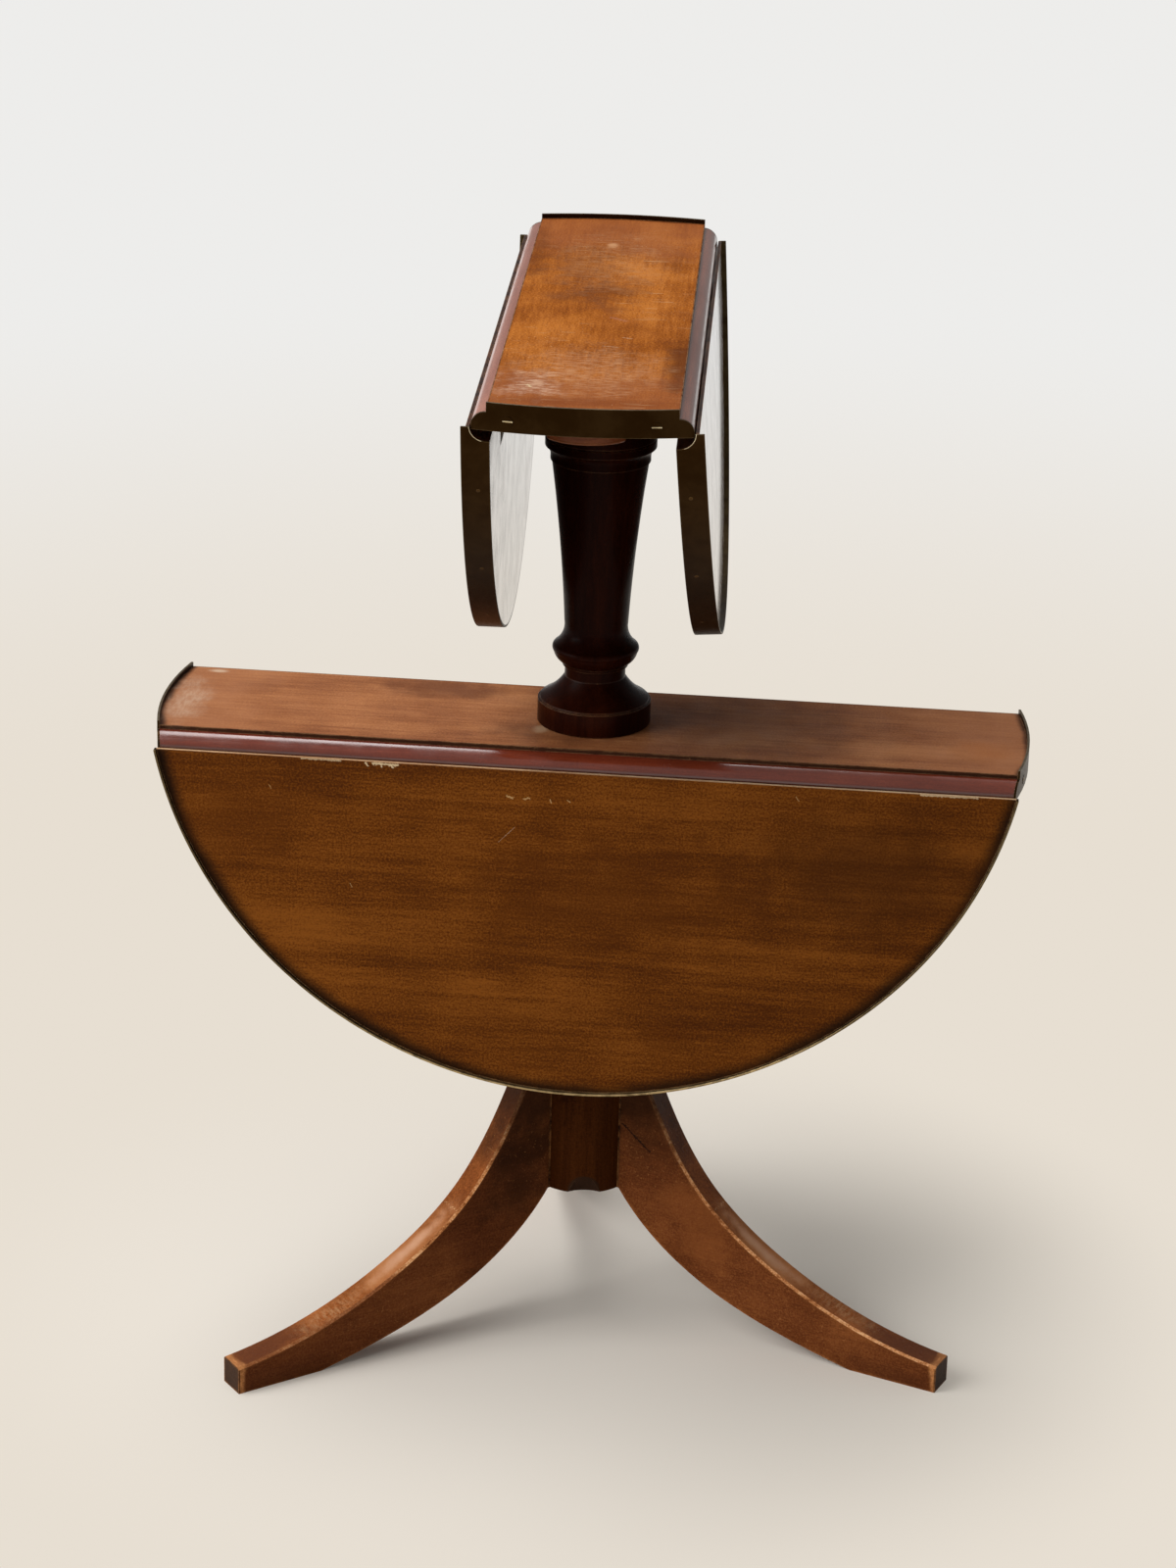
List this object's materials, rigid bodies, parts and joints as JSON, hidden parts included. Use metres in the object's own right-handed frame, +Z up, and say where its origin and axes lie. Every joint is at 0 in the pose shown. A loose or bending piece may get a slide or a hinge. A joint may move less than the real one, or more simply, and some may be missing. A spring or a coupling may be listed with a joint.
{
  "type": "drop-leaf occasional table",
  "caption": "Tiered occasional table on a turned pedestal with sabre legs; each round tier has hinged drop leaves with rule joints and brass bands, and turns on its bearer.",
  "frame": {"origin": "on the floor, on the column's axis", "axes": "+Z up; +X along the lower board towards its right-hand end; +Y away from the side that the picture shows"},
  "size_m": [0.61, 0.5524, 0.7507],
  "materials": {
    "board_mahogany": "old satin polish, hazed and scratched",
    "leaf_mahogany": "old satin polish, dull on the hanging faces",
    "column_mahogany": "dark gloss polish",
    "leg_mahogany": "polish worn through along the edges",
    "bearer_mahogany": "thin polish",
    "band_brass": "dark brown patina, rubbed bright along the top edge",
    "fixing_brass": "dark patina",
    "hinge_brass": "dull old brass",
    "iron_hardware": "dark, lightly rusted iron"
  },
  "bodies": {
    "pedestal": {"leg_back": "leg_mahogany", "leg_front_left": "leg_mahogany", "leg_front_right": "leg_mahogany", "lower_column": "column_mahogany", "lower_bearer": "bearer_mahogany", "lower_bearer_screws": "iron_hardware", "upper_column": "column_mahogany", "upper_bearer": "bearer_mahogany", "upper_bearer_screws": "iron_hardware", "tie_rod": "iron_hardware", "tie_rod_foot_washer": "iron_hardware", "tie_rod_foot_nut": "iron_hardware", "pivot_washer": "iron_hardware", "pivot_lock_nut": "iron_hardware"},
    "lower_top": {"lower_board": "board_mahogany", "lower_board_band_left": "band_brass", "lower_board_band_right": "band_brass", "lower_band_screws": "fixing_brass", "lower_hinge_board_flaps": "hinge_brass", "lower_hinge_pins": "hinge_brass"},
    "lower_leaf_front": {"lower_leaf_front": "leaf_mahogany", "lower_leaf_front_band": "band_brass", "lower_leaf_front_band_pins": "fixing_brass", "lower_leaf_front_hinge_flaps": "hinge_brass"},
    "lower_leaf_back": {"lower_leaf_back": "leaf_mahogany", "lower_leaf_back_band": "band_brass", "lower_leaf_back_band_pins": "fixing_brass", "lower_leaf_back_hinge_flaps": "hinge_brass"},
    "upper_top": {"upper_board": "board_mahogany", "upper_board_band_front": "band_brass", "upper_board_band_back": "band_brass", "upper_band_screws": "fixing_brass", "upper_hinge_board_flaps": "hinge_brass", "upper_hinge_pins": "hinge_brass", "pivot_plate": "iron_hardware", "pivot_plate_screws": "iron_hardware"},
    "upper_leaf_left": {"upper_leaf_left": "leaf_mahogany", "upper_leaf_left_band": "band_brass", "upper_leaf_left_band_pins": "fixing_brass", "upper_leaf_left_hinge_flaps": "hinge_brass"},
    "upper_leaf_right": {"upper_leaf_right": "leaf_mahogany", "upper_leaf_right_band": "band_brass", "upper_leaf_right_band_pins": "fixing_brass", "upper_leaf_right_hinge_flaps": "hinge_brass"}
  },
  "joints": [
    {"name": "lower_swivel", "type": "hinge", "parent": "pedestal", "child": "lower_top", "pos_m": [0, 0, 0.451], "axis": [0, 0, 1], "range_deg": [-5, 10]},
    {"name": "upper_swivel", "type": "hinge", "parent": "pedestal", "child": "upper_top", "pos_m": [0, 0, 0.7475], "axis": [0, 0, 1], "range_deg": [-8.5, 8.5]},
    {"name": "lower_leaf_front_hinge", "type": "hinge", "parent": "lower_top", "child": "lower_leaf_front", "pos_m": [0, -0.062, 0.4384], "axis": [-1, 0, 0], "range_deg": [0, 90]},
    {"name": "lower_leaf_back_hinge", "type": "hinge", "parent": "lower_top", "child": "lower_leaf_back", "pos_m": [0, 0.062, 0.4384], "axis": [1, 0, 0], "range_deg": [0, 90]},
    {"name": "upper_leaf_left_hinge", "type": "hinge", "parent": "upper_top", "child": "upper_leaf_left", "pos_m": [-0.05994, -0.00262, 0.7349], "axis": [-0.0436, 0.999, 0], "range_deg": [0, 90]},
    {"name": "upper_leaf_right_hinge", "type": "hinge", "parent": "upper_top", "child": "upper_leaf_right", "pos_m": [0.05994, 0.00262, 0.7349], "axis": [0.0436, -0.999, 0], "range_deg": [-4, 86]}
  ]
}
